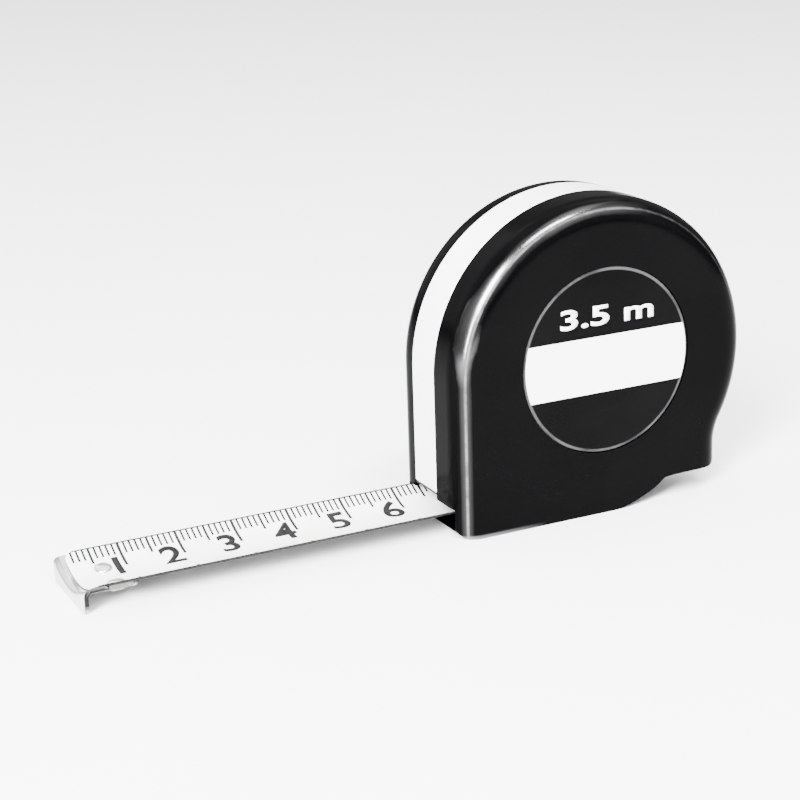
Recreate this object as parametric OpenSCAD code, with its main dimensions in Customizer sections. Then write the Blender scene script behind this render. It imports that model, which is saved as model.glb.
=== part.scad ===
// Pocket tape measure, 3.5 m by 16 mm
//
// Y is the drum's axis, the blade runs out along -X and the case stands on Z = 0.
// X = 0 is under the drum's axis, Y = 0 is the middle of the case.
// Choose one sub-part in "node" to export it alone. All sizes are millimetres.

/* [Case] */

// Radius of the case's round rim
rim_r = 28.5; // [28.3:0.1:29]
// Thickness of the closed case
case_t = 22.5; // [22.5:0.1:24]
// Round on the rim's two edges
edge_r = 4.6; // [4.2:0.1:4.8]
// Wall of the shells and of the centre band
wall = 1.6; // [1.5:0.1:1.7]
// Height of the drum's axis over the base
axis_z = 26.5; // [26.5:0.1:27]
// Width of the pale centre band
band_w = 8; // [7:0.5:8]
// Offset of the band's middle from the middle of the case
band_y = 1.6; // [1.2:0.1:2]

/* [Blade] */

// Width of the blade
blade_w = 16; // [15:0.5:16]
// Thickness of the coated steel
blade_t = 0.2; // [0.15:0.05:0.25]
// Height of the blade's two edges over the base
blade_z = 4.6; // [4.5:0.1:4.7]
// Depth of the blade's hollow
blade_sag = 2.4; // [2.2:0.1:2.4]
// From the drum's axis to the outside of the hook
reach = 92.9; // [80:0.1:110]

/* [Hook] */

// Thickness of the hook's steel
hook_t = 0.7; // [0.6:0.05:0.8]
// Free play of the hook on its rivets
hook_play = 0.8; // [0.5:0.1:0.8]

/* [Label] */

// Radius of the round label
label_r = 16.2; // [14:0.1:16.5]
// Height of the blank name strip
strip_h = 9.9; // [6:0.1:11]

/* [Export] */

// Sub-part to draw

/* [Hidden] */

$fn = 96;

half_t = case_t / 2;
inner_y = half_t - wall;
band_y0 = band_y - band_w / 2;
band_y1 = band_y + band_w / 2;
rear_x = 23.8;
rear_a = acos(rear_x / rim_r);
front_lap = 4;
rear_lap = 7;
floor_t = 0.9;

// mouth in the front wall
mouth_y = 8.5;
mouth_z1 = 6.1;
guide_z0 = 4.95;

// bottom of the case behind the flat base: it curves up to the finger ledge
flat_x = 2.4;
belly = [[flat_x, 0], [4.6, 0.5], [7.2, 1.4], [9.8, 2.6], [11.4, 3.7], [12.2, 4.2], [21.4, 4.4],
         [23.2, 5.4], [rear_x, 7.2]];

// drum
hub_r = 17;
hub_in_r = 15.9;
coil_r = 21.2;
flange_r = 22.3;
flange_t = 0.5;
flange_y = 8.6;
arbor_r = 3;
run_gap = 0.06;

// main spring
spring_turns = 8;
spring_t = 0.32;
spring_h = 14;
spring_r0 = 3.5;
spring_r1 = 15.4;
spring_step = 15;

// blade section: its hollow side is up
bow_r = (pow(blade_w / 2, 2) + pow(blade_sag, 2)) / (2 * blade_sag);
bow_z = blade_z - blade_sag + bow_r;
blade_x0 = -reach + 1.6;
blade_x1 = -24.8;

// hook
hook_w = 16.4;
hook_gap = 0.03;
hook_r = bow_r + blade_t + hook_gap;
tongue_w = 11;
tongue_x = -82.5;
plate_x = -88.4;
rivet_x = -86.2;
rivet_y = 3.2;
rivet_r = 0.9;
rivet_a = asin(rivet_y / bow_r);
slot_r = 0.95;

// straight run from the mouth to the coil
lead_x = -24.5;
lead_z = 3.82;
lead_r = coil_r + 0.35;
lead_d = sqrt(pow(lead_x, 2) + pow(axis_z - lead_z, 2));
lead_l = sqrt(pow(lead_d, 2) - pow(lead_r, 2));
lead_a = atan2(axis_z - lead_z, -lead_x) - asin(lead_r / lead_d);

// case screws: [x, z] of each
screw_r = 25.1;
screws = [[-25.2, 11.4], [20.5, 8.9], [-screw_r * cos(48), axis_z + screw_r * sin(48)],
          [screw_r * cos(48), axis_z + screw_r * sin(48)]];
screw_hole = 0.8;
screw_clear = 1;
boss_r = 2;
head_r = 1.7;
head_y = 9.2;

// belly lever
lever_x = -6;
lever_z = 2.7;
lever_w = 13;
pin_r = 0.7;
lever_bore = 0.75;
lever_tube = 1.5;
slot_x0 = flat_x;
slot_x1 = 12.2;
slot_w = 13.6;

// label
label_z = 27.4;
label_deep = 0.5;
label_t = 0.35;
strip_drop = 0.5;

// ---------- helpers ----------

// rectangle with four round corners
module round_rect(x0, x1, y0, y1, r) {
    translate([x0 + r, y0]) square([x1 - x0 - 2 * r, y1 - y0]);
    translate([x0, y0 + r]) square([x1 - x0, y1 - y0 - 2 * r]);
    for (x = [x0 + r, x1 - r]) {
        for (y = [y0 + r, y1 - r]) {
            translate([x, y]) circle(r = r);
        }
    }
}

// a round bar along Y, from y0 to y1, at [x, z]
module y_bar(x, z, r, y0, y1) {
    translate([x, y1, z]) rotate([90, 0, 0]) cylinder(r = r, h = y1 - y0);
}

// an [x, z] outline extruded along Y
module y_plate(y0, y1) {
    translate([0, y1, 0]) rotate([90, 0, 0]) linear_extrude(y1 - y0) children();
}

// half of the rim's section, seen from the axis
module rim_half(i) {
    intersection() {
        round_rect(-rim_r + i, rim_r - i, -half_t + i, half_t - i, edge_r - i);
        translate([0, -half_t]) square([rim_r, case_t]);
    }
}

// everything over the case's bottom
module over_bottom(i) {
    y_plate(-half_t - 1, half_t + 1)
        polygon(concat([[-rim_r - 1, i]], [for (p = belly) [p[0] - i * 0.3, p[1] + i]],
                       [[rear_x + 10, 7.2 + i], [rear_x + 10, 70], [-rim_r - 1, 70]]));
}

// the case as one solid, i inside its outer skin
module case_body(i, low) {
    intersection() {
        union() {
            translate([0, 0, axis_z]) rotate([90, 0, 0]) rotate([0, 0, -rear_a - rear_lap])
                rotate_extrude(angle = 180 + rear_a + rear_lap + front_lap) rim_half(i);
            linear_extrude(axis_z)
                round_rect(-rim_r + i, rear_x - i, -half_t + i, half_t - i, edge_r - i);
        }
        over_bottom(low);
    }
}

module slab(y0, y1) {
    translate([-40, y0, -5]) cube([80, y1 - y0, 70]);
}

// the front mouth in the shells, under the guide's lower edge
module mouth_cut() {
    translate([-rim_r - 2, -mouth_y, floor_t]) cube([6, 2 * mouth_y, guide_z0 - floor_t]);
}

module belly_cut() {
    translate([slot_x0, -slot_w / 2, -1]) cube([slot_x1 - slot_x0, slot_w, 7.5]);
}

module cavity() {
    intersection() {
        case_body(wall, floor_t);
        slab(-inner_y, inner_y);
    }
}

module bosses(y0, y1, hole) {
    for (p = screws) {
        difference() {
            y_bar(p[0], p[1], boss_r, y0, y1);
            y_bar(p[0], p[1], hole, y0 - 1, y1 + 1);
        }
    }
}

module bow(r0, r1, w) {
    intersection() {
        difference() {
            translate([0, bow_z]) circle(r = r1, $fn = 200);
            translate([0, bow_z]) circle(r = r0, $fn = 200);
        }
        translate([-w / 2, 0]) square([w, bow_z - 4]);
    }
}

// a [y, z] section extruded along X
module x_run(x0, x1) {
    translate([x0, 0, 0]) rotate([90, 0, 90]) linear_extrude(x1 - x0) children();
}

// ---------- case ----------

module near_shell() {
    color([0.03, 0.03, 0.035]) difference() {
        union() {
            difference() {
                intersection() {
                    case_body(0, 0);
                    slab(-half_t, band_y0);
                }
                cavity();
            }
            // chin under the mouth, from side to side
            intersection() {
                case_body(0, 0);
                translate([-rim_r, band_y0 - 0.5, 0])
                    cube([rim_r + flat_x, band_w + 0.5, floor_t]);
            }
            intersection() {
                bosses(-inner_y - 0.2, band_y0, screw_hole);
                case_body(0.5, 0.5);
            }
            y_bar(0, axis_z, 5, -inner_y - 0.2, -flange_y - 0.3);
            y_bar(lever_x, lever_z, 1.9, -inner_y - 0.2, -lever_w / 2 - 0.4);
        }
        mouth_cut();
        belly_cut();
        y_bar(0, label_z, label_r + 0.1, -half_t - 1, -half_t + label_deep);
        y_bar(0, axis_z, arbor_r, -half_t + 0.8, -flange_y);
        y_bar(lever_x, lever_z, pin_r, -inner_y - 0.8, 0);
    }
}

module centre_band() {
    color([0.86, 0.86, 0.84]) difference() {
        union() {
            difference() {
                intersection() {
                    case_body(0, 0);
                    slab(band_y0, band_y1);
                }
                case_body(wall, wall);
                // open from the mouth's top to the heel
                translate([-rim_r - 1, -half_t, -1]) cube([rim_r + slot_x1 + 1, case_t, mouth_z1 + 1]);
            }
            intersection() {
                bosses(band_y0, band_y1, screw_clear);
                case_body(0.5, 0.5);
            }
        }
        for (p = screws) {
            y_bar(p[0], p[1], screw_clear, band_y0 - 1, band_y1 + 1);
        }
    }
}

module far_shell() {
    color([0.03, 0.03, 0.035]) difference() {
        union() {
            difference() {
                intersection() {
                    case_body(0, 0);
                    slab(band_y1, half_t);
                }
                cavity();
            }
            intersection() {
                bosses(band_y1, inner_y + 0.2, screw_clear);
                case_body(0.5, 0.5);
            }
            y_bar(0, axis_z, 5, flange_y + 0.3, inner_y + 0.2);
            y_bar(lever_x, lever_z, 1.9, lever_w / 2 + 0.4, inner_y + 0.2);
        }
        mouth_cut();
        belly_cut();
        y_bar(0, label_z, label_r + 0.1, half_t - label_deep, half_t + 1);
        y_bar(0, axis_z, arbor_r, flange_y, half_t - 0.8);
        y_bar(lever_x, lever_z, pin_r, 0, inner_y + 0.8);
        for (p = screws) {
            y_bar(p[0], p[1], head_r + 0.1, head_y, half_t + 1);
            y_bar(p[0], p[1], screw_clear, band_y1 - 1, half_t);
        }
    }
}

module mouth_guide() {
    color([0.25, 0.25, 0.26]) y_plate(band_y0, band_y1)
        polygon([[-rim_r + 0.1, mouth_z1], [-rim_r + 0.1, mouth_z1 - 0.35], [-27.3, guide_z0],
                 [-25.4, guide_z0], [-25.4, mouth_z1 - 0.6], [-26.9, mouth_z1]]);
}

module near_label() {
    color([0.05, 0.05, 0.055])
        y_bar(0, label_z, label_r, -half_t + label_deep - label_t, -half_t + label_deep);
}

module name_strip() {
    y1 = -half_t + label_deep - label_t;
    color([0.92, 0.92, 0.9]) intersection() {
        y_bar(0, label_z, label_r - 0.4, y1 - 0.12, y1);
        translate([-20, -half_t, label_z - strip_drop - strip_h / 2]) cube([40, 5, strip_h]);
    }
}

module far_label() {
    color([0.05, 0.05, 0.055])
        y_bar(0, label_z, label_r, half_t - label_deep, half_t - label_deep + label_t);
}

module case_screws() {
    color([0.7, 0.7, 0.72]) for (p = screws) {
        difference() {
            union() {
                y_bar(p[0], p[1], head_r, head_y, head_y + 0.9);
                y_bar(p[0], p[1], screw_hole, -6.5, head_y);
            }
            translate([p[0] - 1.2, head_y + 0.4, p[1] - 0.2]) cube([2.4, 1, 0.4]);
            translate([p[0] - 0.2, head_y + 0.4, p[1] - 1.2]) cube([0.4, 1, 2.4]);
        }
    }
}

// ---------- drum and spring ----------

module arbor_post() {
    color([0.62, 0.62, 0.64]) difference() {
        y_bar(0, axis_z, arbor_r, -half_t + 0.8, half_t - 0.8);
        translate([-4, -7.6, axis_z - 0.3]) cube([8, 22, 0.6]);
    }
}

module spool() {
    color([0.8, 0.8, 0.76]) difference() {
        union() {
            y_bar(0, axis_z, flange_r, -flange_y, -flange_y + flange_t);
            y_bar(0, axis_z, hub_r, -flange_y, flange_y - flange_t);
        }
        y_bar(0, axis_z, hub_in_r, -flange_y + flange_t, flange_y);
        y_bar(0, axis_z, arbor_r + run_gap, -flange_y - 1, flange_y);
        // the spring's outer end hooks through this slot
        translate([hub_in_r - 0.5, -5, axis_z - 0.6]) cube([0.9, 10, 1.2]);
    }
}

module spool_cap() {
    color([0.8, 0.8, 0.76]) difference() {
        union() {
            y_bar(0, axis_z, flange_r, flange_y - flange_t, flange_y);
            y_bar(0, axis_z, hub_in_r, flange_y - flange_t - 0.8, flange_y);
        }
        y_bar(0, axis_z, hub_in_r - 1, flange_y - flange_t - 2, flange_y - flange_t);
        y_bar(0, axis_z, arbor_r + run_gap, 0, flange_y + 1);
    }
}

function spring_pt(a, dr) =
    let (r = spring_r0 + (spring_r1 - spring_r0) * a / (360 * spring_turns) + dr)
    [r * cos(a), axis_z + r * sin(a)];

module main_spring() {
    last = 360 * spring_turns;
    color([0.35, 0.37, 0.42]) {
        y_plate(-spring_h / 2, spring_h / 2)
            polygon(concat([for (a = [0 : spring_step : last]) spring_pt(a, spring_t / 2)],
                           [for (a = [last : -spring_step : 0]) spring_pt(a, -spring_t / 2)]));
        // inner end, in the post's slot
        translate([-2, -spring_h / 2, axis_z - spring_t / 2])
            cube([spring_r0 + 2.1, spring_h, spring_t]);
    }
}

module blade_coil() {
    color([0.85, 0.84, 0.8]) difference() {
        y_bar(0, axis_z, coil_r, -blade_w / 2, blade_w / 2);
        y_bar(0, axis_z, hub_r, -blade_w / 2 - 1, blade_w / 2 + 1);
    }
}

// ---------- blade and hook ----------

module blade_lead() {
    color([0.85, 0.84, 0.8]) translate([lead_x, 0, lead_z]) rotate([0, -lead_a, 0])
        translate([0, -blade_w / 2, -blade_t / 2]) cube([lead_l, blade_w, blade_t]);
}

// places children over each rivet, Z = 0 on the blade's hollow side
module at_rivets(x) {
    for (s = [-1, 1]) {
        translate([x, 0, bow_z]) rotate([s * rivet_a, 0, 0]) translate([0, 0, -bow_r]) children();
    }
}

module blade() {
    color([0.9, 0.9, 0.88]) difference() {
        x_run(blade_x0, blade_x1) bow(bow_r, bow_r + blade_t, blade_w);
        at_rivets(rivet_x) translate([0, 0, -1]) cylinder(r = rivet_r, h = 2);
    }
}

module end_hook() {
    color([0.75, 0.75, 0.76]) difference() {
        union() {
            // plate and tongue under the blade
            intersection() {
                x_run(-reach + hook_t / 2, tongue_x + 5) bow(hook_r, hook_r + hook_t, hook_w);
                translate([0, 0, -1]) linear_extrude(12) {
                    translate([-reach, -hook_w / 2]) square([plate_x + reach, hook_w]);
                    translate([-reach, -tongue_w / 2])
                        square([tongue_x + reach - 2, tongue_w]);
                    translate([tongue_x - 2.5, -tongue_w / 2 + 2]) square([2.5, tongue_w - 4]);
                    for (s = [-1, 1]) {
                        translate([tongue_x - 2, s * (tongue_w / 2 - 2)]) circle(r = 2);
                    }
                }
            }
            // lip, with its lower corners cut
            x_run(-reach, -reach + hook_t) difference() {
                polygon([[-hook_w / 2, blade_z], [-hook_w / 2, 1.2], [-hook_w / 2 + 1.2, 0],
                         [hook_w / 2 - 1.2, 0], [hook_w / 2, 1.2], [hook_w / 2, blade_z]]);
                translate([0, bow_z]) circle(r = hook_r, $fn = 200);
            }
        }
        // slots that let the hook slide on its rivets
        at_rivets(rivet_x - 0.05) translate([0, 0, -2]) cylinder(r = slot_r, h = 3);
        at_rivets(rivet_x + hook_play) translate([0, 0, -2]) cylinder(r = slot_r, h = 3);
        at_rivets(rivet_x - 0.05) translate([0, -slot_r, -2]) cube([hook_play + 0.05, 2 * slot_r, 3]);
    }
}

module hook_rivets() {
    grip = blade_t + hook_gap + hook_t + 0.04;
    color([0.78, 0.78, 0.8]) {
        at_rivets(rivet_x) translate([0, 0, 0.08]) cylinder(r = 1.5, h = 0.3);
        at_rivets(rivet_x) translate([0, 0, -grip - 0.1]) cylinder(r = rivet_r, h = grip + 0.2);
        at_rivets(rivet_x) translate([0, 0, -grip - 0.25]) cylinder(r = 1.5, h = 0.25);
    }
}

// ---------- belly lever ----------

module release_lever() {
    color([0.06, 0.06, 0.065]) difference() {
        union() {
            y_bar(lever_x, lever_z, lever_tube, -lever_w / 2, lever_w / 2);
            y_plate(-lever_w / 2, lever_w / 2)
                polygon([[lever_x, 1.3], [2.6, 1.25], [3, 0.35], [5, 0.4], [8, 1.1], [10.6, 2.35],
                         [11.5, 3.3], [11.5, 4.4], [9.6, 4.1], [7, 2.7], [4, 2.4], [lever_x, 2.5]]);
            y_plate(-5, 5)
                polygon([[lever_x, 2.3], [-15.5, 2], [-15.5, 2.9], [-12.4, 2.9], [lever_x, 3.3]]);
        }
        y_bar(lever_x, lever_z, lever_bore, -lever_w, lever_w);
    }
}

module lever_pin() {
    color([0.7, 0.7, 0.72]) y_bar(lever_x, lever_z, pin_r, -inner_y - 0.8, inner_y + 0.8);
}

module lever_spring() {
    color([0.5, 0.52, 0.56]) y_plate(-3, 3)
        polygon([[-8.6, floor_t], [-10.4, floor_t], [-14.9, 1.78], [-14.9, 1.98], [-14.7, 1.98],
                 [-10.4, floor_t + 0.2], [-8.6, floor_t + 0.2]]);
}

module brake_pad() {
    color([0.1, 0.1, 0.1]) translate([-15.5, -5, 2.9]) cube([3, 10, 0.9]);
}

near_shell();
centre_band();
far_shell();
near_label();
name_strip();
far_label();
case_screws();
arbor_post();
spool();
spool_cap();
main_spring();
blade_coil();
blade_lead();
blade();
end_hook();
hook_rivets();
mouth_guide();
release_lever();
lever_pin();
lever_spring();
brake_pad();
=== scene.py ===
"""Pocket tape measure: looks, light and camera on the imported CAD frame.

Lengths are in mm unless a name or comment says otherwise.
"""
import bpy
import bmesh
import math
from mathutils import Vector, Matrix


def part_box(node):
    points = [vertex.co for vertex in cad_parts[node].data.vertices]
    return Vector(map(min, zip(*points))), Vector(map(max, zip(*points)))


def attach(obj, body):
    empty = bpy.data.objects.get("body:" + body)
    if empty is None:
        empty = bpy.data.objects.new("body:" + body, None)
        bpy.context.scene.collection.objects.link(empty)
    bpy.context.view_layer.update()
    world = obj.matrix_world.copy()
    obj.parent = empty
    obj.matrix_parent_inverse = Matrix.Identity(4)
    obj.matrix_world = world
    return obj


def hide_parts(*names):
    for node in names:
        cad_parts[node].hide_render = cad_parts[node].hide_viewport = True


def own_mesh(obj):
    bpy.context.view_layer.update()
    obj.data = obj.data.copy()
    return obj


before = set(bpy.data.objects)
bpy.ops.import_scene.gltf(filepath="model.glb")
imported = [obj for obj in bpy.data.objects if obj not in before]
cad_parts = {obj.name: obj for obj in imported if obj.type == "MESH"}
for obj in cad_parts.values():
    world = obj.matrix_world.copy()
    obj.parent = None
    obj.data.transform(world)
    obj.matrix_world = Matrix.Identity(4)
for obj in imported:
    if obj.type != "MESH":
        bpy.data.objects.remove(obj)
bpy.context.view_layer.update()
MM = 0.001


# ---------- sizes read from the frame ----------

def box_mm(node):
    lo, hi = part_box(node)
    return [v / MM for v in lo], [v / MM for v in hi]


CASE_LO, CASE_HI = box_mm("near_shell")
BAND_LO, BAND_HI = box_mm("centre_band")
LABEL_LO, LABEL_HI = box_mm("near_label")
STRIP_LO, STRIP_HI = box_mm("name_strip")
BLADE_LO, BLADE_HI = box_mm("blade")
HOOK_LO, HOOK_HI = box_mm("end_hook")
LEVER_LO, LEVER_HI = box_mm("release_lever")
GUIDE_LO, GUIDE_HI = box_mm("mouth_guide")
SCREW_LO, SCREW_HI = box_mm("case_screws")

# case: a round rim over a straight front and rear, with rounded side edges
RIM_R = (CASE_HI[0] - CASE_LO[0]) / 2
AXIS_Z = CASE_HI[2] - RIM_R
HALF_T = -CASE_LO[1]
BAND_Y0, BAND_Y1 = BAND_LO[1], BAND_HI[1]
SEAM = 0.02
REAR_X = 23.8
REAR_FILLET_R = 9.0
EDGE_R = 4.6
EDGE_POWER = 2.3
WALL = 1.6
FLOOR_T = 0.9
TOE_R = 2.4
HEEL_R = 2.5
HEEL_TOP = 9.3
# underside from the flat base over the belly and up to the finger ledge, as (x, z)
BELLY = [(1.4, 0.0), (3.4, 0.2), (5.4, 0.75), (7.4, 1.5), (9.4, 2.42), (10.8, 3.3), (11.6, 3.95),
         (12.6, 4.22), (16.0, 4.32), (19.0, 4.37), (21.2, 4.4)]
# cutters reach this far in front of and behind the case, and open bodies this far under it
REACH = 45.0
OPEN_Z = -8.0

# openings and recesses
MOUTH_Y = 8.5
MOUTH_DEEP = 4.2
MOUTH_TOP = GUIDE_HI[2]
BELLY_X0, BELLY_X1 = 2.4, 12.2
BELLY_Y = 6.8
BELLY_TOP = 6.6
LABEL_X = (LABEL_LO[0] + LABEL_HI[0]) / 2
LABEL_Z = (LABEL_LO[2] + LABEL_HI[2]) / 2
LABEL_R = (LABEL_HI[0] - LABEL_LO[0]) / 2
LABEL_DEEP = 0.5
LABEL_GAP = 0.12

# case screws
SCREWS = [(-25.2, 11.4), (20.5, 8.9), (-16.795, 45.153), (16.795, 45.153)]
HEAD_SEAT = 9.2
HEAD_FACE = SCREW_HI[1]
WELL_R = 1.8


# ---------- outlines ----------

def arc(cx, cy, r, a0, a1, n, first=0):
    """Points on a circle from a0 to a1 degrees in n steps, from step first on."""
    angles = [math.radians(a0 + (a1 - a0) * k / n) for k in range(first, n + 1)]
    return [(cx + r * math.cos(t), cy + r * math.sin(t)) for t in angles]


def circle(cx, cy, r, n):
    return arc(cx, cy, r, 0, 360, n)[:-1]


def smooth_curve(pts, step):
    """A Catmull-Rom curve through 2D points, with about step between its points."""
    out = []
    n = len(pts)
    for i in range(n - 1):
        p0 = pts[max(0, i - 1)]
        p1, p2 = pts[i], pts[i + 1]
        p3 = pts[min(n - 1, i + 2)]
        parts = max(1, int(math.dist(p1, p2) / step))
        for j in range(parts):
            t = j / parts
            out.append(tuple(0.5 * (2 * p1[c] + (p2[c] - p0[c]) * t
                                    + (2 * p0[c] - 5 * p1[c] + 4 * p2[c] - p3[c]) * t * t
                                    + (3 * p1[c] - p0[c] - 3 * p2[c] + p3[c]) * t ** 3) for c in range(2)))
    out.append(tuple(pts[-1]))
    return out


def height_at(line, x):
    """Height at x of a line of (x, z) points that runs towards +X."""
    for (x0, z0), (x1, z1) in zip(line, line[1:]):
        if x0 <= x <= x1:
            return z0 + (z1 - z0) * (x - x0) / (x1 - x0)
    return line[-1][1]


# ---------- mesh helpers ----------

def link(name, bm, smooth=True):
    """Turns a bmesh into an object in the scene."""
    me = bpy.data.meshes.new(name)
    bm.normal_update()
    bm.to_mesh(me)
    bm.free()
    o = bpy.data.objects.new(name, me)
    bpy.context.scene.collection.objects.link(o)
    if smooth:
        for p in me.polygons:
            p.use_smooth = True
    return o


def rings_mesh(name, rings):
    """A closed mesh through rings of equal length, with a polygon at each end."""
    bm = bmesh.new()
    rows = [[bm.verts.new(Vector(p) * MM) for p in r] for r in rings]
    n = len(rows[0])
    for a, b in zip(rows, rows[1:]):
        for i in range(n):
            bm.faces.new((a[i], a[(i + 1) % n], b[(i + 1) % n], b[i]))
    bm.faces.new(list(reversed(rows[0])))
    bm.faces.new(rows[-1])
    bmesh.ops.recalc_face_normals(bm, faces=bm.faces)
    return link(name, bm)


def sheet_mesh(name, place, ni, nj):
    """A closed thin sheet. place(side, i, j) gives each point of its two faces, side 0 and side 1."""
    bm = bmesh.new()
    faces = []
    for side in (0, 1):
        face = []
        for i in range(ni + 1):
            face.append([bm.verts.new(Vector(place(side, i, j)) * MM) for j in range(nj + 1)])
        faces.append(face)
    a, b = faces
    for v in faces:
        for i in range(ni):
            for j in range(nj):
                bm.faces.new((v[i][j], v[i + 1][j], v[i + 1][j + 1], v[i][j + 1]))
    for i in range(ni):
        for j in (0, nj):
            bm.faces.new((a[i][j], a[i + 1][j], b[i + 1][j], b[i][j]))
    for j in range(nj):
        for i in (0, ni):
            bm.faces.new((a[i][j], a[i][j + 1], b[i][j + 1], b[i][j]))
    bmesh.ops.recalc_face_normals(bm, faces=bm.faces)
    return link(name, bm)


def prism(name, pts, axis, a0, a1):
    """An outline swept from a0 to a1: pts are (x, z) along axis Y and (x, y) along Z."""
    def ring(a):
        return [(p[0], a, p[1]) if axis == "Y" else (p[0], p[1], a) for p in pts]
    return rings_mesh(name, [ring(a0), ring(a1)])


def block(name, lo, hi):
    pts = [(lo[0], lo[2]), (hi[0], lo[2]), (hi[0], hi[2]), (lo[0], hi[2])]
    return prism(name, pts, "Y", lo[1], hi[1])


def disc(name, x, z, r, y0, y1, n=160):
    return prism(name, circle(x, z, r, n), "Y", y0, y1)


def apply_all(o):
    """Applies every modifier of an object."""
    dg = bpy.context.evaluated_depsgraph_get()
    me = bpy.data.meshes.new_from_object(o.evaluated_get(dg))
    o.modifiers.clear()
    old = o.data
    o.data = me
    bpy.data.meshes.remove(old)


def boolean(o, other, op="DIFFERENCE", keep=False):
    """Cuts, joins or intersects o with other, which is removed unless keep says otherwise."""
    m = o.modifiers.new("boolean", "BOOLEAN")
    m.operation = op
    m.object = other
    m.solver = "EXACT"
    apply_all(o)
    if not keep:
        bpy.data.objects.remove(other, do_unlink=True)
    return o


def add_bevel(o, width, segments, angle):
    b = o.modifiers.new("bevel", "BEVEL")
    b.width = width * MM
    b.segments = segments
    b.limit_method = "ANGLE"
    b.angle_limit = math.radians(angle)
    return b


def weigh_normals(o, sharp_angle, weight=50):
    """Smooth shading with sharp edges over an angle, and normals weighted by face area."""
    for p in o.data.polygons:
        p.use_smooth = True
    o.data.set_sharp_from_angle(angle=math.radians(sharp_angle))
    w = o.modifiers.new("weighted", "WEIGHTED_NORMAL")
    w.keep_sharp = True
    w.weight = weight
    apply_all(o)


def finish_hard(o, width, segments=3, angle=35):
    """Cleans the mesh, rounds its hard edges and smooths its shading."""
    tiny = 0.004 * MM
    bm = bmesh.new()
    bm.from_mesh(o.data)
    bmesh.ops.remove_doubles(bm, verts=bm.verts, dist=tiny)
    bmesh.ops.dissolve_degenerate(bm, edges=bm.edges, dist=tiny)
    bm.to_mesh(o.data)
    bm.free()
    b = add_bevel(o, width, segments, angle)
    b.use_clamp_overlap = True
    b.harden_normals = False
    b.miter_outer = "MITER_ARC"
    apply_all(o)
    weigh_normals(o, 38, 60)
    return o


# ---------- the case's body ----------

def case_outline():
    """(x, z, normal x, normal z) along the side outline, from the front foot over the top to the rear."""
    pts = [(-RIM_R, OPEN_Z + (AXIS_Z - OPEN_Z) * k / 24, -1.0, 0.0) for k in range(24)]
    # a fillet outside the rim joins it to the upright rear wall
    fillet_x = REAR_X + REAR_FILLET_R
    fillet_z = AXIS_Z - math.sqrt((RIM_R + REAR_FILLET_R) ** 2 - fillet_x ** 2)
    rim_end = math.degrees(math.atan2(fillet_z - AXIS_Z, fillet_x))
    for nx, nz in arc(0, 0, 1, 180, rim_end, 150):
        pts.append((RIM_R * nx, AXIS_Z + RIM_R * nz, nx, nz))
    fillet_start = math.degrees(math.atan2(AXIS_Z - fillet_z, -fillet_x))
    for x, z in arc(0, 0, 1, fillet_start, 180, 12, first=1):
        pts.append((fillet_x + REAR_FILLET_R * x, fillet_z + REAR_FILLET_R * z, -x, -z))
    for k in range(1, 17):
        pts.append((REAR_X, fillet_z + (OPEN_Z - fillet_z) * k / 16, 1.0, 0.0))
    return pts


def crown(inset, u):
    """(offset from the rim, distance in from the side face) at u from 0 at the rim to 1 at the face."""
    r = EDGE_R - inset
    a = u * math.pi / 2
    c = math.cos(a) ** (2 / EDGE_POWER)
    s = math.sin(a) ** (2 / EDGE_POWER)
    return r * (1 - c), r * (1 - s)


def underside(low):
    """(x, z) along the bottom, low above the real one, which has a rounded toe."""
    toe = [(-RIM_R - 3, 0.0)]
    if not low:
        toe = [(-RIM_R - 3, 8.0), (-RIM_R - 0.4, 3.6)] + arc(TOE_R - RIM_R, TOE_R, TOE_R, 180, 270, 12)
    end_x, end_z = BELLY[-1]
    turn = arc(0, 0, 1, -90, -8, 14, first=1)
    heel = [(end_x + (HEEL_R + 0.1) * x, end_z + HEEL_R + HEEL_R * z) for x, z in turn]
    heel += [(REAR_X + 0.5, HEEL_TOP), (REACH, HEEL_TOP)]
    return [(x, z + low) for x, z in toe + smooth_curve(BELLY, 0.35) + heel]


def case_body(name, inset, low):
    """The whole case as one solid, inset all round, its bottom raised by low."""
    half = HALF_T - inset
    edge = [crown(inset, k / 16) for k in range(17)]
    section = [(d, -(half - y)) for d, y in reversed(edge)]
    section += [(d, -y) for d, y in reversed(section)]
    rows = []
    for d, y in section:
        row = [(x - nx * (d + inset), y, z - nz * (d + inset)) for x, z, nx, nz in case_outline()]
        x0, x1 = row[-1][0], row[0][0]
        row += [(x0 + (x1 - x0) * k / 12, y, row[0][2]) for k in range(1, 12)]
        rows.append(row)
    line = underside(low)
    below = [(-REACH, -14), (-REACH, line[0][1])] + line + [(REACH, -14)]
    return boolean(rings_mesh(name, rows), prism("below", below, "Y", -HALF_T - 3, HALF_T + 3))


def slab(y0, y1):
    return block("slab", (-REACH, y0, -5), (REACH, y1, 65))


def hollow(shell):
    """Takes the inside, the mouth and the belly opening out of a shell."""
    boolean(shell, inner, keep=True)
    mouth_lo = (-RIM_R - 4, -MOUTH_Y, FLOOR_T)
    boolean(shell, block("mouth", mouth_lo, (-RIM_R + MOUTH_DEEP, MOUTH_Y, GUIDE_LO[2])))
    boolean(shell, block("belly", (BELLY_X0, -BELLY_Y, -3), (BELLY_X1, BELLY_Y, BELLY_TOP)))


def label_recess(y0, y1):
    return disc("recess", LABEL_X, LABEL_Z, LABEL_R + LABEL_GAP, y0, y1)


inner = case_body("inner", WALL, FLOOR_T)

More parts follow.
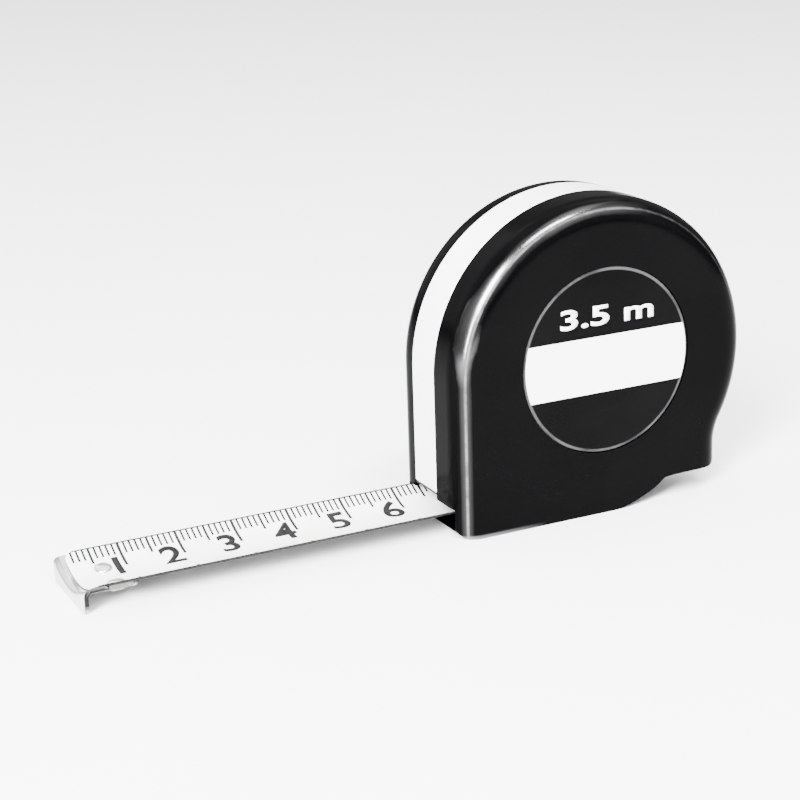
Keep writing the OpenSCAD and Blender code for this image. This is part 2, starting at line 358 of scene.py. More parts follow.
# near shell: its side wall, and the chin that runs under the mouth to the far shell
near = case_body("near_shell_skin", 0, 0)
region = slab(-HALF_T - 2, BAND_Y0 - SEAM)
boolean(region, block("chin", (-REACH, -HALF_T - 2, -5), (7, BAND_Y1 - SEAM, FLOOR_T)), "UNION")
boolean(near, region, "INTERSECT")
hollow(near)
boolean(near, label_recess(-HALF_T - 1, -HALF_T + LABEL_DEEP))
finish_hard(near, 0.34)

far = case_body("far_shell_skin", 0, 0)
boolean(far, slab(BAND_Y1 + SEAM, HALF_T + 2), "INTERSECT")
hollow(far)
boolean(far, label_recess(HALF_T - LABEL_DEEP, HALF_T + 1))
for sx, sz in SCREWS:
    boolean(far, disc("well", sx, sz, WELL_R, HEAD_SEAT, HALF_T + 1, 40))
finish_hard(far, 0.28)

band = case_body("centre_band_skin", 0, 0)
boolean(band, slab(BAND_Y0 + SEAM, BAND_Y1 - SEAM), "INTERSECT")
boolean(band, inner)
boolean(band, block("open", (-REACH, -HALF_T, -10), (BELLY_X1, HALF_T, MOUTH_TOP)))
finish_hard(band, 0.22)

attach(near, "case")
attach(far, "case")
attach(band, "case")
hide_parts("near_shell")
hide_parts("far_shell")
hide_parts("centre_band")


# ---------- case screws ----------

def screw_mesh():
    """Four cheese-head screws with a cross recess and a thread at the near end."""
    shank_r, root_r, pitch = 0.79, 0.6, 0.54
    tip = SCREW_LO[1]
    prof = [(0.4, HEAD_FACE), (1.05, HEAD_FACE - 0.03), (1.4, HEAD_FACE - 0.12), (1.6, HEAD_FACE - 0.28),
            (1.69, HEAD_FACE - 0.5), (1.7, HEAD_SEAT + 0.05), (1.66, HEAD_SEAT), (shank_r, HEAD_SEAT)]
    y = -0.6
    while y > tip + 0.9:
        prof += [(shank_r, y), (root_r, y - pitch / 2)]
        y -= pitch
    prof += [(root_r, tip + 0.5), (0.2, tip + 0.02)]
    long, short, deep = 1.02, 0.2, 0.42
    bm = bmesh.new()
    for sx, sz in SCREWS:
        screw = rings_mesh("case_screw", [[(x, y, z) for x, z in circle(sx, sz, r, 36)] for r, y in prof])
        for wide, tall in ((long, short), (short, long)):
            lo = (sx - wide, HEAD_FACE - deep, sz - tall)
            boolean(screw, block("recess", lo, (sx + wide, HEAD_FACE + 1, sz + tall)))
        bm.from_mesh(screw.data)
        bpy.data.objects.remove(screw, do_unlink=True)
    return finish_hard(link("case_screw_set", bm), 0.03, 2, 80)


screws = screw_mesh()
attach(screws, "case")
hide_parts("case_screws")


# ---------- labels ----------

def plate_disc(name, y_back, y_face):
    """A round plate with a rounded front edge; y_face is the side that shows."""
    chamfer = 0.22
    s = chamfer if y_face < y_back else -chamfer
    prof = [(LABEL_R, y_back), (LABEL_R, y_face + s)]
    for c, k in arc(0, 0, 1, 0, 90, 4, first=1):
        prof.append((LABEL_R - chamfer * (1 - c), y_face + s * (1 - k)))
    o = rings_mesh(name, [[(x, y, z) for x, z in circle(LABEL_X, LABEL_Z, r, 192)] for r, y in prof])
    o.data.set_sharp_from_angle(angle=math.radians(50))
    return o


near_label = plate_disc("near_label_plate", LABEL_HI[1], LABEL_LO[1])
far_label = plate_disc("far_label_plate", -LABEL_HI[1], -LABEL_LO[1])
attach(near_label, "case")
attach(far_label, "case")
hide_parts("near_label")
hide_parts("far_label")


def strip_mesh():
    """The plain strip across the label, with round ends that follow the label's edge."""
    r = (STRIP_HI[0] - STRIP_LO[0]) / 2
    cx = (STRIP_LO[0] + STRIP_HI[0]) / 2
    top = math.degrees(math.asin((STRIP_HI[2] - LABEL_Z) / r))
    low = math.degrees(math.asin((STRIP_LO[2] - LABEL_Z) / r))
    pts = arc(cx, LABEL_Z, r, low, top, 40) + arc(cx, LABEL_Z, r, 180 - top, 180 - low, 40)
    return finish_hard(prism("name_strip_print", pts, "Y", STRIP_LO[1], STRIP_HI[1]), 0.05, 2)


strip = strip_mesh()
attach(strip, "case")
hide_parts("name_strip")


def figures(name, text, size, place, depth):
    """Raised print. place(x, y, d) maps a point of the text and its height d to a point of the object."""
    cu = bpy.data.curves.new(name, "FONT")
    cu.body = text
    cu.size = size
    cu.align_x = "CENTER"
    cu.resolution_u = 6
    cu.offset = 0.022 * size
    t = bpy.data.objects.new(name + "_text", cu)
    bpy.context.scene.collection.objects.link(t)
    dg = bpy.context.evaluated_depsgraph_get()
    me = bpy.data.meshes.new_from_object(t.evaluated_get(dg))
    bpy.data.objects.remove(t, do_unlink=True)
    bm = bmesh.new()
    bm.from_mesh(me)
    bpy.data.meshes.remove(me)
    bmesh.ops.remove_doubles(bm, verts=bm.verts, dist=0.001)
    bmesh.ops.triangulate(bm, faces=bm.faces)
    long_edges = [e for e in bm.edges if e.calc_length() > size * 0.25]
    bmesh.ops.subdivide_edges(bm, edges=long_edges, cuts=2)
    ret = bmesh.ops.extrude_face_region(bm, geom=bm.faces[:])
    for v in ret["geom"]:
        if isinstance(v, bmesh.types.BMVert):
            v.co.z = 1.0
    for v in bm.verts:
        v.co = Vector(place(v.co.x, v.co.y, v.co.z * depth)) * MM
    bmesh.ops.recalc_face_normals(bm, faces=bm.faces)
    return link(name, bm, smooth=False)


MARK_X = LABEL_X + 0.1
MARK_Y = LABEL_LO[1] + 0.02
MARK_Z = 33.9
MARK_STRETCH = 1.78
mark = figures("capacity_mark", "3.5 m", 4.7,
               lambda x, y, d: (MARK_X + x * MARK_STRETCH, MARK_Y - d, MARK_Z + y), 0.07)
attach(mark, "case")


# ---------- blade ----------

BLADE_W = BLADE_HI[1] - BLADE_LO[1]
BLADE_T = 0.2
SAG = 2.4
BOW_R = ((BLADE_W / 2) ** 2 + SAG ** 2) / (2 * SAG)
BOW_Z = BLADE_HI[2] - SAG + BOW_R
TIP_X = BLADE_LO[0]
TIP_CORNER_R = 1.6


def bow_point(y, off):
    """Point of the blade's hollow side at y, off outwards (down) along its normal, as (y, z)."""
    a = math.asin(max(-1, min(1, y / BOW_R)))
    r = BOW_R + off
    return r * math.sin(a), BOW_Z - r * math.cos(a)


def corner_rise(across, half, r):
    """How far a rounded corner of radius r sets the end of a strip back, at across from its middle."""
    d = abs(across) - (half - r)
    return r - math.sqrt(max(0.0, r * r - d * d)) if d > 0 else 0.0


def blade_mesh():
    """The blade that is out: a bowed strip with rounded tip corners, cut fine so that it can be squeezed."""
    along, across = 90, 48

    def place(side, i, j):
        y = -BLADE_W / 2 + BLADE_W * j / across
        start = TIP_X + corner_rise(y, BLADE_W / 2, TIP_CORNER_R)
        return (start + (BLADE_HI[0] - start) * i / along, *bow_point(y, BLADE_T * side))

    o = sheet_mesh("blade_strip", place, along, across)
    o.data.set_sharp_from_angle(angle=math.radians(40))
    return o


blade = blade_mesh()
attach(blade, "blade")
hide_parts("blade")

# centimetre figures, each before its line; the scale starts at the inside of the hook's lip
HOOK_T = 0.7
ZERO_X = HOOK_LO[0] + HOOK_T
FIGURE_SIZE = 6.9
FIGURE_STRETCH = 1.12
FIGURE_FOOT_Y = 0.4
digits = []
for n in range(1, 7):
    middle = ZERO_X + 10 * n - (1.5 if n == 1 else 2.35)

    def place(x, y, d, middle=middle):
        return (middle + x * FIGURE_STRETCH, *bow_point(FIGURE_FOOT_Y + y, -0.015 - d))

    g = figures("blade_figure_%d" % n, str(n), FIGURE_SIZE, place, 0.02)
    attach(g, "blade")
    digits.append(g)


# ---------- hook ----------

HOOK_W = HOOK_HI[1] - HOOK_LO[1]
# the plate's top follows the blade's underside; the lip's bend starts at BEND_X
HOOK_R = BOW_R + BLADE_T + 0.03
BEND_R = 1.15
BEND_X = HOOK_LO[0] + BEND_R
BEND_MID = BEND_R - HOOK_T / 2
BEND_RUN = BEND_MID * math.pi / 2
HALF_RUN = HOOK_R * math.asin(HOOK_W / 2 / (HOOK_R + HOOK_T))
LIP_WIDEN = HOOK_W / 2 / (HOOK_R * math.sin(HALF_RUN / HOOK_R)) - 1
LIP_CORNER_R = 1.5
PLATE_END = -88.4 - BEND_X
TONGUE_END = HOOK_HI[0] - BEND_X
TONGUE_HALF = 5.4
SLOT_X0, SLOT_X1 = -86.25, -85.4
SLOT_Y = 3.25
SLOT_R = 0.95
RIVET_X = -86.2
RIVET_Y = 3.2


def plate_top(s):
    """Height of the hook plate's top at s across it."""
    return BOW_Z - HOOK_R * math.cos(s / HOOK_R)


def lip_end(s):
    """Where the lip's lower edge lies along the flat sheet, at s across it."""
    return -BEND_RUN - (plate_top(s) - BEND_R - HOOK_LO[2])


def hook_outline():
    """The hook as it is cut: points (u, s), with u along the sheet from the bend and s across it."""
    pts = []
    for k in range(61):
        s = -HALF_RUN + 2 * HALF_RUN * k / 60
        pts.append((lip_end(s) + corner_rise(s, HALF_RUN, LIP_CORNER_R), s))
    outer, inside, end = 1.0, 0.8, 2.2
    pts += arc(PLATE_END - outer, HALF_RUN - outer, outer, 90, 0, 8)
    pts += arc(PLATE_END + inside, TONGUE_HALF + inside, inside, 180, 270, 8)
    pts += arc(TONGUE_END - end, TONGUE_HALF - end, end, 90, 0, 8)
    pts += arc(TONGUE_END - end, end - TONGUE_HALF, end, 0, -90, 8)
    pts += arc(PLATE_END + inside, -TONGUE_HALF - inside, inside, 90, 180, 8)
    pts += arc(PLATE_END - outer, outer - HALF_RUN, outer, 0, -90, 8)
    return pts


def flat_hook():
    """The hook as a flat sheet with its slots, cut fine so that it can bend."""
    step, across, margin = 0.28, 56, 0.5
    start = lip_end(0) - 2.2
    along = int((TONGUE_END - lip_end(0) + 4.0) / step) - 1

    def place(side, i, j):
        s = -HALF_RUN - margin + (2 * HALF_RUN + 2 * margin) * j / across
        return (start + step * i, s, -HOOK_T * side)

    o = sheet_mesh("end_hook_sheet", place, along, across)
    boolean(o, prism("outline", hook_outline(), "Z", -3, 3), "INTERSECT")
    for side in (-1, 1):
        s = side * SLOT_Y * HOOK_R / BOW_R
        slot = arc(SLOT_X0 - BEND_X, s, SLOT_R, 90, 270, 12) + arc(SLOT_X1 - BEND_X, s, SLOT_R, -90, 90, 12)
        boolean(o, prism("slot", slot, "Z", -3, 3))
    add_bevel(o, 0.16, 3, 45)
    apply_all(o)
    return o


def bent(u, s, w):
    """Where the flat sheet's point (u, s), w below its top, lies on the bent hook."""
    a = s / HOOK_R
    y, z = HOOK_R * math.sin(a), plate_top(s)
    if u >= 0:
        return (BEND_X + u, y + w * math.sin(a), z - w * math.cos(a))
    if u >= -BEND_RUN:
        f = -u / BEND_MID
        side = y * (1 + LIP_WIDEN * math.sin(f)) + w * math.sin(a) * math.cos(f)
        drop = BEND_R - BEND_R * math.cos(f) + w * math.cos(f) * math.cos(a)
        return (BEND_X - (BEND_R - w) * math.sin(f), side, z - drop)
    return (HOOK_LO[0] + w, y * (1 + LIP_WIDEN), z - BEND_R + u + BEND_RUN)


hook = flat_hook()
for v in hook.data.vertices:
    v.co = Vector(bent(v.co.x / MM, v.co.y / MM, -v.co.z / MM)) * MM
weigh_normals(hook, 50)
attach(hook, "hook")
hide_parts("end_hook")


def rivet_mesh():
    """Two domed rivets square to the blade's curve."""
    dome = [(0.0, 0.46), (0.5, 0.45), (0.95, 0.38), (1.3, 0.25), (1.47, 0.12), (1.5, 0.04), (1.5, 0.02)]
    shank = [(0.9, 0.0), (0.9, -0.97)]
    foot = [(1.5, -0.98), (1.5, -1.12), (1.3, -1.2), (0.0, -1.22)]
    n = 40
    bm = bmesh.new()
    for side in (-1, 1):
        tilt = Matrix.Rotation(math.asin(side * RIVET_Y / BOW_R), 4, "X")
        base = Vector((RIVET_X, 0, BOW_Z))
        rows = []
        for r, h in dome + shank + foot:
            ring = circle(0, 0, r, n) if r else [(0, 0)]
            rows.append([bm.verts.new((base + tilt @ Vector((x, y, h - BOW_R))) * MM) for x, y in ring])
        for p, q in zip(rows, rows[1:]):
            for i in range(n):
                k = (i + 1) % n
                if len(p) == 1:
                    bm.faces.new((p[0], q[i], q[k]))
                elif len(q) == 1:
                    bm.faces.new((p[i], q[0], p[k]))
                else:
                    bm.faces.new((p[i], q[i], q[k], p[k]))
    bmesh.ops.recalc_face_normals(bm, faces=bm.faces)
    o = link("hook_rivet_pair", bm)
    o.data.set_sharp_from_angle(angle=math.radians(40))
    return o


rivets = rivet_mesh()
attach(rivets, "blade")
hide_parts("hook_rivets")


# ---------- mouth guide ----------

def guide_mesh():
    """The bevelled wedge over the mouth, as wide as the band."""
    x0, x1 = GUIDE_LO[0] + 0.02, GUIDE_HI[0] - 0.05
    z0, z1 = GUIDE_LO[2] + 0.02, GUIDE_HI[2] - 0.03
    pts = [(x0, z1), (x0, z1 - 0.37), (x0 + 1.03, z0), (x1, z0), (x1, z1 - 0.62), (x1 - 1.5, z1)]
    return finish_hard(prism("mouth_guide_lip", pts, "Y", GUIDE_LO[1] + 0.03, GUIDE_HI[1] - 0.03), 0.12, 2)


guide = guide_mesh()
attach(guide, "case")
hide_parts("mouth_guide")


# ---------- belly lever ----------

def lever_mesh():
    """A curved shoe with grip grooves, a tube on the pin and an arm for the pad."""
    pivot_x, pivot_z = -6.0, 2.7
    tube_r, bore_r, groove_r = 1.5, 0.75, 0.2
    half = (LEVER_HI[1] - LEVER_LO[1]) / 2
    low = smooth_curve([(pivot_x, 1.3), (-2.0, 1.28), (1.8, 1.26), (2.62, 1.1), (2.95, 0.6), (3.5, 0.4),
                        (5.0, 0.46), (6.6, 0.74), (8.2, 1.22), (9.6, 1.86), (10.7, 2.5), (11.3, 3.1),
                        (11.48, 3.7), (11.3, 4.2)], 0.4)
    high = smooth_curve([(11.3, 4.2), (10.6, 4.28), (9.6, 4.0), (8.4, 3.4), (7.0, 2.75), (5.2, 2.46),
                         (2.0, 2.42), (pivot_x, 2.5)], 0.6)
    arm = [(pivot_x, 2.3), (-15.48, 2.02), (-15.48, 2.9), (-12.4, 2.9), (pivot_x, 3.3)]
    o = prism("release_lever_shoe", low + high[1:], "Y", -half, half)
    boolean(o, disc("tube", pivot_x, pivot_z, tube_r, -half, half, 48), "UNION")
    boolean(o, prism("arm", arm, "Y", -5, 5), "UNION")
    boolean(o, disc("bore", pivot_x, pivot_z, bore_r, -8, 8, 40))
    for k in range(6):
        x = 4.6 + 0.95 * k
        boolean(o, disc("groove", x, height_at(low, x) - 0.02, groove_r, 0.9 - half, half - 0.9, 20))
    return finish_hard(o, 0.12, 2, 40)


lever = lever_mesh()
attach(lever, "lever")
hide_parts("release_lever")


# ---------- materials ----------

class Nodes:
    """Short way to build a node tree."""

    def __init__(self, name):
        self.mat = bpy.data.materials.new(name)
        self.mat.use_nodes = True
        self.t = self.mat.node_tree
        self.t.nodes.clear()
        self.out = self.t.nodes.new("ShaderNodeOutputMaterial")
        self.bsdf = self.t.nodes.new("ShaderNodeBsdfPrincipled")
        self.t.links.new(self.bsdf.outputs[0], self.out.inputs[0])
        self.co = self.t.nodes.new("ShaderNodeTexCoord").outputs["Object"]

    def put(self, socket, value):
        if isinstance(value, bpy.types.NodeSocket):
            self.t.links.new(value, socket)
        elif value is not None:
            socket.default_value = value

    def set(self, **kw):
        for k, v in kw.items():
            self.put(self.bsdf.inputs[k.replace("_", " ")], v)

    def math(self, op, *values):
        n = self.t.nodes.new("ShaderNodeMath")
        n.operation = op
        for socket, v in zip(n.inputs, values):
            self.put(socket, v)
        return n.outputs[0]

    def add(self, a, b):
        return self.math("ADD", a, b)

    def sub(self, a, b):
        return self.math("SUBTRACT", a, b)

    def mul(self, a, b):
        return self.math("MULTIPLY", a, b)

    def size(self, a):
        return self.math("ABSOLUTE", a)

    def root(self, a):
        return self.math("SQRT", a)

    def xyz(self):
        """The point's place in mm."""
        sep = self.t.nodes.new("ShaderNodeSeparateXYZ")
        self.put(sep.inputs[0], self.co)
        return [self.mul(c, 1000.0) for c in sep.outputs]

    def noise(self, scale, detail=3, rough=0.5, stretch=None):
        co = self.co
        if stretch:
            m = self.t.nodes.new("ShaderNodeMapping")
            self.put(m.inputs["Vector"], co)
            m.inputs["Scale"].default_value = stretch
            co = m.outputs[0]
        n = self.t.nodes.new("ShaderNodeTexNoise")
        self.put(n.inputs["Vector"], co)
        n.inputs["Scale"].default_value = scale
        n.inputs["Detail"].default_value = detail
        n.inputs["Roughness"].default_value = rough
        return n.outputs["Fac"]

    def span(self, v, a, b, c, d):
        """v from a to b becomes c to d, and stays there outside."""
        n = self.t.nodes.new("ShaderNodeMapRange")
        for socket, x in zip(n.inputs, (v, a, b, c, d)):
            self.put(socket, x)
        return n.outputs[0]

    def mix(self, fac, a, b):
        n = self.t.nodes.new("ShaderNodeMix")
        n.data_type = "RGBA"
        self.put(n.inputs[0], fac)
        self.put(n.inputs[6], a)
        self.put(n.inputs[7], b)
        return n.outputs[2]

    def bump(self, height, strength, distance, normal=None):
        """distance is in mm."""
        n = self.t.nodes.new("ShaderNodeBump")
        n.inputs["Strength"].default_value = strength
        n.inputs["Distance"].default_value = distance * MM
        self.put(n.inputs["Height"], height)
        self.put(n.inputs["Normal"], normal)
        return n.outputs[0]

    def rim_line(self, shift, core, fade):
        """(mask, distance): 1 on a line along the two rounded rims, core wide and fading out over fade.

        The distance is measured across the line, from the side face towards the rim's wall. shift moves
        the line towards the side face.
        """
        x, y, z = self.xyz()
        up = self.math("MAXIMUM", self.sub(z, AXIS_Z), 0.0)
        r = self.root(self.add(self.mul(x, x), self.mul(up, up)))
        a = self.sub(r, RIM_R - EDGE_DIAGONAL)
        b = self.sub(self.size(y), HALF_T - EDGE_DIAGONAL)
        d = self.add(self.sub(a, b), shift)
        line = self.span(self.sub(self.size(d), core), 0.0, fade, 1.0, 0.0)
        near_edge = self.math("GREATER_THAN", self.add(a, b), -1.6)
        return self.mul(line, near_edge), d


# how far in the rounded edge's middle lies from both faces
EDGE_DIAGONAL = EDGE_R * (1 - 2 ** (-1 / EDGE_POWER))


def rgb(r, g=None, b=None):
    return (r, r if g is None else g, r if b is None else b, 1.0)


def plastic(name, color, dark, rough, spec, grain=0.006, marks=None):
    """Moulded plastic or print in two close tones with a fine grain. marks(m, base, spec) changes both."""
    m = Nodes(name)
    fine = m.noise(2600, 4, 0.6)
    wide = m.noise(55, 3, 0.5)
    base = m.mix(m.span(wide, 0.35, 0.65, 0.0, 1.0), color, dark)
    if marks:
        base, spec = marks(m, base, spec)
    blotch = m.add(m.mul(fine, 0.35), m.mul(wide, 0.65))
    m.set(Base_Color=base, Specular_IOR_Level=spec, Roughness=m.span(blotch, 0.35, 0.65, *rough))
    m.set(Normal=m.bump(fine, 0.35, grain, m.bump(wide, 0.25, 0.04)))
    return m.mat


def case_marks(m, base, spec):
    """Painted highlights in light grey, a line along the base's front corner and a thin broken line along the
    rims, and the rims' gloss.
    """
    painted_highlight_grey = rgb(0.2, 0.2, 0.205)
    x, y, z = m.xyz()
    # painted highlight: a light grey line along the bottom edge at the front of both side faces
    low = m.span(z, 0.25, 0.75, 1.0, 0.0)
    side = m.span(m.size(y), HALF_T - 2.2, HALF_T - 0.7, 0.0, 1.0)
    base = m.mix(m.mul(m.mul(low, side), m.span(x, -26.0, -12.0, 0.45, 0.0)), base, painted_highlight_grey)
    # painted highlight: a thin light grey line along the rims, broken up and fading towards the rear
    line, _ = m.rim_line(0.9, 0.02, 0.42)
    broken = m.span(m.noise(420, 4, 0.6), 0.38, 0.62, 0.3, 1.0)
    highlight_strength = m.mul(m.span(x, -12.0, 14.0, 1.0, 0.15), 0.5)
    base = m.mix(m.mul(m.mul(line, broken), highlight_strength), base, painted_highlight_grey)
    # the gloss is widest on the near side's front shoulder, and the walls are duller
    high = m.span(z, 26.5, 33.0, 0.0, 1.0)
    shoulder = m.mul(m.mul(high, m.span(z, 40.0, 47.0, 1.0, 0.2)), m.math("LESS_THAN", y, 0.0))
    patchy = m.span(m.noise(190, 2, 0.5), 0.4, 0.6, 0.6, 1.1)
    core = m.mul(m.math("MULTIPLY_ADD", shoulder, 1.3, 0.12), patchy)
    shiny, d = m.rim_line(m.math("MULTIPLY_ADD", shoulder, -1.1, 0.8), core, 1.5)
    wall = m.span(d, 1.5, 3.4, spec, spec * 0.35)
    gloss = m.mul(m.mul(shiny, m.span(x, -4.0, 9.0, 1.0, 0.0)), m.span(high, 0, 1, 0.35, 0.9))
    return base, m.add(wall, gloss)


def label_border(m, base, spec):
    """A thin grey ring painted round the label's edge as a painted highlight, broken up in places."""
    x, _, z = m.xyz()
    dx, dz = m.sub(x, LABEL_X), m.sub(z, LABEL_Z)
    r = m.root(m.add(m.mul(dx, dx), m.mul(dz, dz)))
    line = m.span(r, LABEL_R - 0.62, LABEL_R - 0.42, 0.0, 1.0)
    highlight_strength = m.span(m.noise(160, 4, 0.6), 0.35, 0.6, 0.35, 1.0)
    # painted highlight: the grey ring is mixed into the label's colour
    return m.mix(m.mul(m.mul(line, highlight_strength), 0.32), base, rgb(0.13, 0.13, 0.132)), spec


def metal(name, color, dark, rough, stretch=(1, 1, 1), scale=400, shaded_edge_from=None):
    """Plated or bare metal in two close tones. Its sides are coloured near-black further than the given
    distance from the middle, as painted shade.
    """
    m = Nodes(name)
    fine = m.noise(scale, 5, 0.65, stretch)
    wide = m.noise(90, 3, 0.5)
    base = m.mix(m.span(wide, 0.3, 0.7, 0.0, 1.0), color, dark)
    if shaded_edge_from:
        _, y, _ = m.xyz()
        # painted shade along the side edges
        base = m.mix(m.span(m.size(y), shaded_edge_from - 0.34, shaded_edge_from - 0.1, 0.0, 1.0), base, rgb(0.07, 0.07, 0.075))
    m.set(Base_Color=base, Metallic=1.0, Roughness=m.span(fine, 0.3, 0.7, *rough))
    m.set(Normal=m.bump(fine, 0.2, 0.006))
    return m.mat


def blade_material():
    """Pale coated steel with millimetre, half and full centimetre lines on its hollow side; its underside and
    side edges are coloured near-black as painted shade.
    """
    m = Nodes("blade_coated_steel")
    x, y, z = m.xyz()
    x = m.sub(x, ZERO_X)
    out = m.size(y)
    half = BLADE_W / 2

    def lines(pitch, width, reach):
        """1 on a line every pitch mm that runs reach mm in from either edge."""
        f = m.size(m.sub(m.math("FRACT", m.add(m.math("DIVIDE", x, pitch), 0.5)), 0.5))
        on = m.math("LESS_THAN", m.mul(f, pitch), width / 2)
        return m.mul(on, m.math("GREATER_THAN", out, half - reach))

    ticks = m.math("MAXIMUM", lines(5.0, 0.44, 3.3), lines(10.0, 0.5, 5.2))
    ticks = m.math("MAXIMUM", lines(1.0, 0.38, 2.3), ticks)
    printed = m.mul(m.math("GREATER_THAN", x, 1.5), m.math("LESS_THAN", out, half - 0.15))
    # only on the hollow side: the other side is deeper at every y
    bow = m.root(m.math("MAXIMUM", m.sub(BOW_R ** 2, m.mul(y, y)), 0.0))
    top = m.math("GREATER_THAN", z, m.sub(m.sub(BOW_Z, bow), 0.08))
    ink = m.mul(m.mul(ticks, printed), top)

    wide = m.noise(70, 3, 0.5)
    fine = m.noise(900, 4, 0.6, (0.3, 3, 3))
    pale = m.mix(m.span(wide, 0.35, 0.65, 0, 1), rgb(0.8, 0.79, 0.76), rgb(0.73, 0.72, 0.69))
    # painted shade: the underside, which faces the floor, is coloured near-black
    underside_shade = m.mix(m.span(fine, 0.35, 0.65, 0, 1), rgb(0.008, 0.0085, 0.0095), rgb(0.013, 0.0135, 0.0145))
    dark = rgb(0.012, 0.012, 0.013)
    # painted shade: the side edges are coloured near-black and lose their gloss
    edge_shade = m.span(out, half - 0.3, half - 0.2, 0.0, 1.0)
    coat = m.mix(edge_shade, m.mix(top, underside_shade, pale), dark)
    spec = m.math("MAXIMUM", m.sub(m.span(top, 0, 1, 0.01, 0.5), m.mul(ink, 0.47)), 0.01)
    m.set(Base_Color=m.mix(ink, coat, dark),
          Roughness=m.add(m.span(fine, 0.3, 0.7, 0.26, 0.38), m.mul(ink, 0.1)),
          Specular_IOR_Level=m.mul(spec, m.math("MULTIPLY_ADD", edge_shade, -0.95, 1.0)),
          Normal=m.bump(m.add(m.mul(fine, 0.5), ink), 0.3, 0.01))
    return m.mat


def coil_material():
    """The wound blade: pale coat outside, with a fine line for each turn on its sides."""
    m = Nodes("blade_coil_coated_steel")
    x, _, z = m.xyz()
    up = m.sub(z, AXIS_Z)
    r = m.root(m.add(m.mul(x, x), m.mul(up, up)))
    turn = m.size(m.sub(m.math("FRACT", m.math("DIVIDE", r, 0.26)), 0.5))
    gap = m.span(turn, 0.36, 0.46, 0.0, 1.0)
    fine = m.noise(700, 4, 0.6)
    coat = m.mix(m.span(fine, 0.35, 0.65, 0, 1), rgb(0.78, 0.77, 0.74), rgb(0.7, 0.69, 0.66))
    m.set(Base_Color=m.mix(gap, coat, rgb(0.12, 0.12, 0.125)),
          Roughness=m.span(fine, 0.3, 0.7, 0.3, 0.45),
          Normal=m.bump(m.sub(m.mul(fine, 0.4), gap), 0.4, 0.02))
    return m.mat


BLACK = plastic("black_gloss_plastic", rgb(0.0005, 0.0005, 0.0006), rgb(0.0008, 0.0008, 0.0009),
                (0.15, 0.21), 0.02, marks=case_marks)
PALE = plastic("pale_satin_plastic", rgb(0.78, 0.78, 0.765), rgb(0.72, 0.72, 0.705), (0.32, 0.42), 0.5, 0.012)
LABEL = plastic("label_black_print", rgb(0.0007, 0.0007, 0.0008), rgb(0.0013, 0.0013, 0.0014),
                (0.26, 0.36), 0.022, marks=label_border)
WHITE = plastic("strip_white_print", rgb(0.85, 0.85, 0.84), rgb(0.8, 0.8, 0.79), (0.45, 0.6), 0.4, 0.01)
GREY = plastic("guide_dark_grey", rgb(0.022, 0.022, 0.023), rgb(0.016, 0.016, 0.017), (0.55, 0.7), 0.12, 0.02)
SATIN = plastic("lever_satin_black", rgb(0.01, 0.01, 0.0105), rgb(0.016, 0.016, 0.0165),
                (0.38, 0.5), 0.4, 0.02)
ACETAL = plastic("drum_acetal", rgb(0.72, 0.7, 0.63), rgb(0.66, 0.64, 0.57), (0.35, 0.5), 0.45, 0.015)
RUBBER = plastic("pad_rubber_black", rgb(0.02), rgb(0.03), (0.7, 0.85), 0.3, 0.04)
INK = plastic("figure_ink", rgb(0.007, 0.007, 0.0075), rgb(0.011, 0.011, 0.0115), (0.5, 0.65), 0.03, 0.004)
COAT = plastic("blade_coat_plain", rgb(0.8, 0.79, 0.76), rgb(0.73, 0.72, 0.69), (0.26, 0.38), 0.5)
NICKEL = metal("nickel_plate", rgb(0.66, 0.655, 0.64), rgb(0.56, 0.555, 0.545), (0.16, 0.28), (1, 6, 6), 500)
# the hook's side edges carry painted shade
HOOK_NICKEL = metal("nickel_plate_hook", rgb(0.52, 0.515, 0.505), rgb(0.42, 0.415, 0.41),
                    (0.16, 0.28), (1, 6, 6), 500, shaded_edge_from=HOOK_W / 2)
STEEL = metal("zinc_steel", rgb(0.55, 0.56, 0.58), rgb(0.45, 0.46, 0.48), (0.28, 0.45))
BLUED = metal("blued_spring_steel", rgb(0.16, 0.18, 0.23), rgb(0.1, 0.11, 0.15), (0.25, 0.4), (1, 30, 1), 300)
BLADE = blade_material()
COIL = coil_material()


def paint(o, mat):
    o.data.materials.clear()
    o.data.materials.append(mat)


PAINTED = [(near, BLACK), (far, BLACK), (band, PALE), (near_label, LABEL), (far_label, LABEL),
           (strip, WHITE), (mark, WHITE), (blade, BLADE), (hook, HOOK_NICKEL), (rivets, NICKEL),
           (guide, GREY), (lever, SATIN), (screws, STEEL)]
for piece, mat in PAINTED:
    paint(piece, mat)
for g in digits:
    paint(g, INK)

# the blade and its figures each get a mesh of their own; both go into the mouth as the blade goes in
for g in [blade] + digits:
    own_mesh(g)

CARRIED = {"arbor_post": STEEL, "spool": ACETAL, "spool_cap": ACETAL, "main_spring": BLUED,
           "blade_coil": COIL, "blade_lead": COAT, "lever_pin": STEEL, "lever_spring": BLUED,
           "brake_pad": RUBBER}
for node, mat in CARRIED.items():
    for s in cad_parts[node].material_slots:
        s.material = mat


# ---------- floor, light and camera ----------

FLOOR_HALF_M = 4.0
bm = bmesh.new()
corners = [(x, y, 0) for x, y in ((-1, -1), (1, -1), (1, 1), (-1, 1))]
bm.faces.new([bm.verts.new(Vector(p) * FLOOR_HALF_M) for p in corners])
floor = link("floor", bm, smooth=False)
floor.location.z = -0.02 * MM
fl = Nodes("floor_pale")
fl.set(Base_Color=fl.mix(fl.span(fl.noise(30, 3), 0.3, 0.7, 0, 1), rgb(0.86), rgb(0.84)), Roughness=0.9,
       Specular_IOR_Level=0.1)
paint(floor, fl.mat)

CASE_MIDDLE = Vector((0.0, 0.0, AXIS_Z * MM))


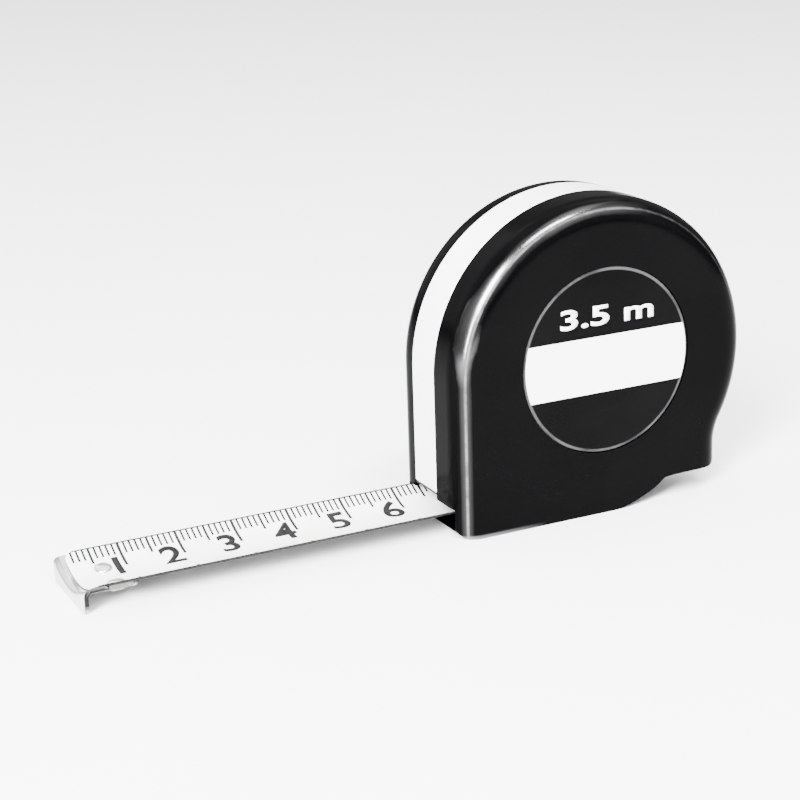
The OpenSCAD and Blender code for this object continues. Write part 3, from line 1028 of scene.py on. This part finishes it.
def area(name, way, dist, size, power, size_y=None, along=(0, 0, 1)):
    """An area light dist metres from the case in the direction way. size_y runs along the given direction."""
    d = bpy.data.lights.new(name, "AREA")
    d.energy = power
    d.size = size
    if size_y:
        d.shape = "RECTANGLE"
        d.size_y = size_y
    o = bpy.data.objects.new(name, d)
    bpy.context.scene.collection.objects.link(o)
    z = Vector(way).normalized()
    o.location = CASE_MIDDLE + z * dist
    x = Vector(along).cross(z).normalized()
    y = z.cross(x)
    o.rotation_mode = "QUATERNION"
    o.rotation_quaternion = Matrix((x, y, z)).transposed().to_quaternion()


area("key", (-0.62, -0.56, 0.55), 0.75, 0.2, 40.0, 0.34, (0.43, 0.03, 0.47))
area("glint_low", (-0.81, -0.55, 0.17), 0.7, 0.05, 7.0, 0.22)
area("glint_top", (0.0, -0.45, 0.89), 0.75, 0.07, 13.0, 0.34, (0.9, 0.15, 0.1))
area("top", (0.1, 0.25, 0.95), 0.9, 1.0, 12.0)
area("fill", (0.5, -0.7, 0.5), 0.9, 0.8, 4.0)
area("back", (-0.45, 0.75, 0.5), 1.5, 1.4, 22.0)


def studio_world(low, high, dim, bright):
    """A white surround that goes from dim to bright between two heights."""
    world = bpy.data.worlds.new("studio")
    bpy.context.scene.world = world
    world.use_nodes = True
    t = world.node_tree
    background = t.nodes["Background"]
    background.inputs[0].default_value = (1, 1, 1, 1)
    sep = t.nodes.new("ShaderNodeSeparateXYZ")
    t.links.new(t.nodes.new("ShaderNodeTexCoord").outputs["Generated"], sep.inputs[0])
    ramp = t.nodes.new("ShaderNodeMapRange")
    t.links.new(sep.outputs[2], ramp.inputs[0])
    for k, v in enumerate((low, high, dim, bright)):
        ramp.inputs[k + 1].default_value = v
    t.links.new(ramp.outputs[0], background.inputs[1])


studio_world(0.05, 0.45, 0.25, 1.4)

# where the camera stands, seen from the case, in degrees; then how far it looks away from the case
CAMERA_AZ, CAMERA_EL = -30.78, 16.23
YAW, PITCH, ROLL = 5.13, 1.59, math.radians(-1.85)
CAMERA_DIST_M = 0.3456
LENS_PER_WIDTH = 2.4636
SENSOR = 36.0


def back_vector(az, el):
    """From the case towards a camera at azimuth az and elevation el."""
    a, e = math.radians(az), math.radians(el)
    return Vector((math.sin(a) * math.cos(e), -math.cos(a) * math.cos(e), math.sin(e)))


def add_camera():
    data = bpy.data.cameras.new("camera")
    data.sensor_width = SENSOR
    data.lens = LENS_PER_WIDTH * SENSOR
    data.clip_start = 0.01
    data.clip_end = 20.0
    cam = bpy.data.objects.new("camera", data)
    bpy.context.scene.collection.objects.link(cam)
    target = Vector((0.0, (BAND_Y0 + BAND_Y1) / 2 * MM, 0.0275))
    cam.location = target + back_vector(CAMERA_AZ, CAMERA_EL) * CAMERA_DIST_M
    look = -back_vector(CAMERA_AZ + YAW, CAMERA_EL + PITCH)
    right = look.cross(Vector((0, 0, 1))).normalized()
    up = right.cross(look)
    c, s = math.cos(ROLL), math.sin(ROLL)
    cam.rotation_mode = "QUATERNION"
    turned = Matrix((right * c + up * s, up * c - right * s, -look)).transposed()
    cam.rotation_quaternion = turned.to_quaternion()
    bpy.context.scene.camera = cam


add_camera()
